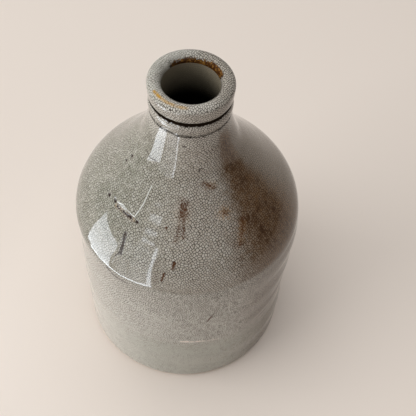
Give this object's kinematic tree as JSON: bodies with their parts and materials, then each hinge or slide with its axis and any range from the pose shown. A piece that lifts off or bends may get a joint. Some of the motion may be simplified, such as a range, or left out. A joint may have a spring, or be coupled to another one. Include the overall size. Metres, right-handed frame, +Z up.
{
  "type": "sake bottle",
  "caption": "Conical-shouldered stoneware sake bottle with a ringed neck, a rolled lip, an open mouth and a crackled grey-green glaze.",
  "frame": {"origin": "centre of the bottom, on the bottle's axis in the plane that the foot ring stands on", "axes": "+Z up along the axis of revolution and out of the mouth"},
  "size_m": [0.1392, 0.1392, 0.221],
  "materials": {
    "clay": "matt fired stoneware clay, bare at the foot",
    "crackle_glaze": "glossy grey-green glaze with fine dark crackle and rust-brown stains",
    "liner_glaze": "thin olive-grey glaze with fine crackle"
  },
  "bodies": {
    "root": {"foot_ring": "clay", "base_disc": "clay", "body_wall": "clay", "shoulder_cone": "clay", "neck_collar": "clay", "neck_ring": "clay", "rolled_lip": "clay", "outer_glaze": "crackle_glaze", "liner_glaze": "liner_glaze"}
  },
  "joints": []
}
